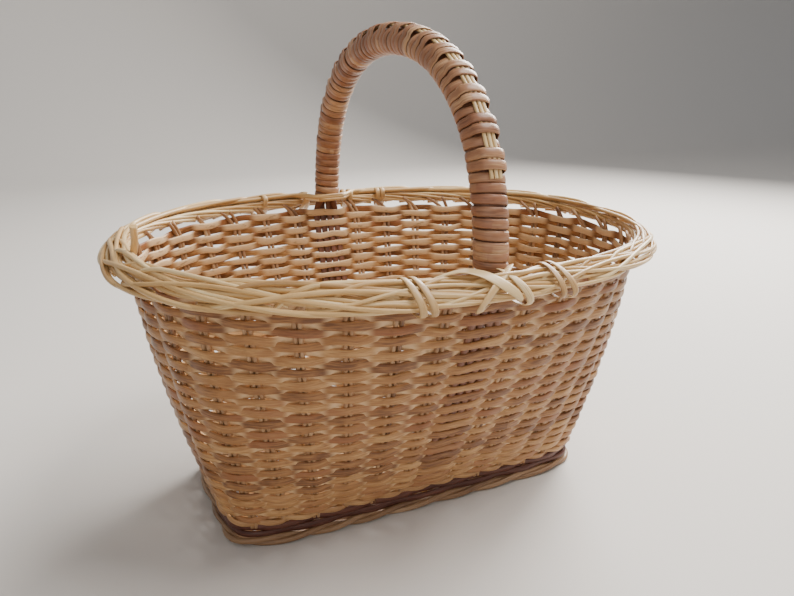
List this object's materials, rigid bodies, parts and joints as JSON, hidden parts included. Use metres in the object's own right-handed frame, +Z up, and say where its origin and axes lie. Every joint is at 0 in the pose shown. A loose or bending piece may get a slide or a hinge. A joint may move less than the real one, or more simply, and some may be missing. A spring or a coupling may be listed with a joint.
{
  "type": "woven wicker basket",
  "caption": "Oval open basket of woven willow on a rectangular foot, with a plaited pale rim and a fixed, strip-wrapped bow handle over the middle.",
  "frame": {"origin": "middle of the underside, on the surface that the basket stands on", "axes": "+X along the basket's length, -Y towards its front, +Z up; the handle's bow lies in the YZ plane"},
  "size_m": [0.4082, 0.3268, 0.3432],
  "materials": {
    "foot_rods": "satin",
    "dark_willow": "matte",
    "weave_willow": "satin",
    "stake_willow": "satin",
    "wrapping_strip": "satin",
    "tie_strip": "satin",
    "pale_strip": "satin",
    "pale_willow": "satin"
  },
  "bodies": {
    "root": {"foot_rod_outer": "foot_rods", "foot_rod_inner": "foot_rods", "base_weave_lower": "weave_willow", "base_sticks": "stake_willow", "base_weave_upper": "weave_willow", "dark_band_lower": "dark_willow", "dark_band_upper": "dark_willow", "stakes_front": "stake_willow", "stakes_right": "stake_willow", "stakes_back": "stake_willow", "stakes_left": "stake_willow", "handle_slips_front": "stake_willow", "handle_slips_back": "stake_willow", "side_weave_1": "weave_willow", "side_weave_2": "weave_willow", "side_weave_3": "weave_willow", "side_weave_4": "weave_willow", "side_weave_5": "weave_willow", "side_weave_6": "weave_willow", "side_weave_7": "weave_willow", "side_weave_8": "weave_willow", "border_rod_1": "pale_willow", "border_rod_2": "pale_willow", "border_rod_3": "pale_willow", "border_rod_4": "pale_willow", "border_rod_end": "pale_willow", "rim_tie_front_left": "tie_strip", "rim_tie_front_right": "tie_strip", "rim_tie_back_1": "tie_strip", "rim_tie_back_2": "tie_strip", "rim_tie_back_3": "tie_strip", "rim_tie_back_4": "tie_strip", "handle_rod_1": "stake_willow", "handle_rod_2": "stake_willow", "handle_rod_3": "stake_willow", "handle_rod_4": "stake_willow", "handle_wrap": "wrapping_strip", "handle_listing": "pale_strip", "handle_lashing_front": "tie_strip", "handle_foot_leaf": "pale_strip"}
  },
  "joints": []
}
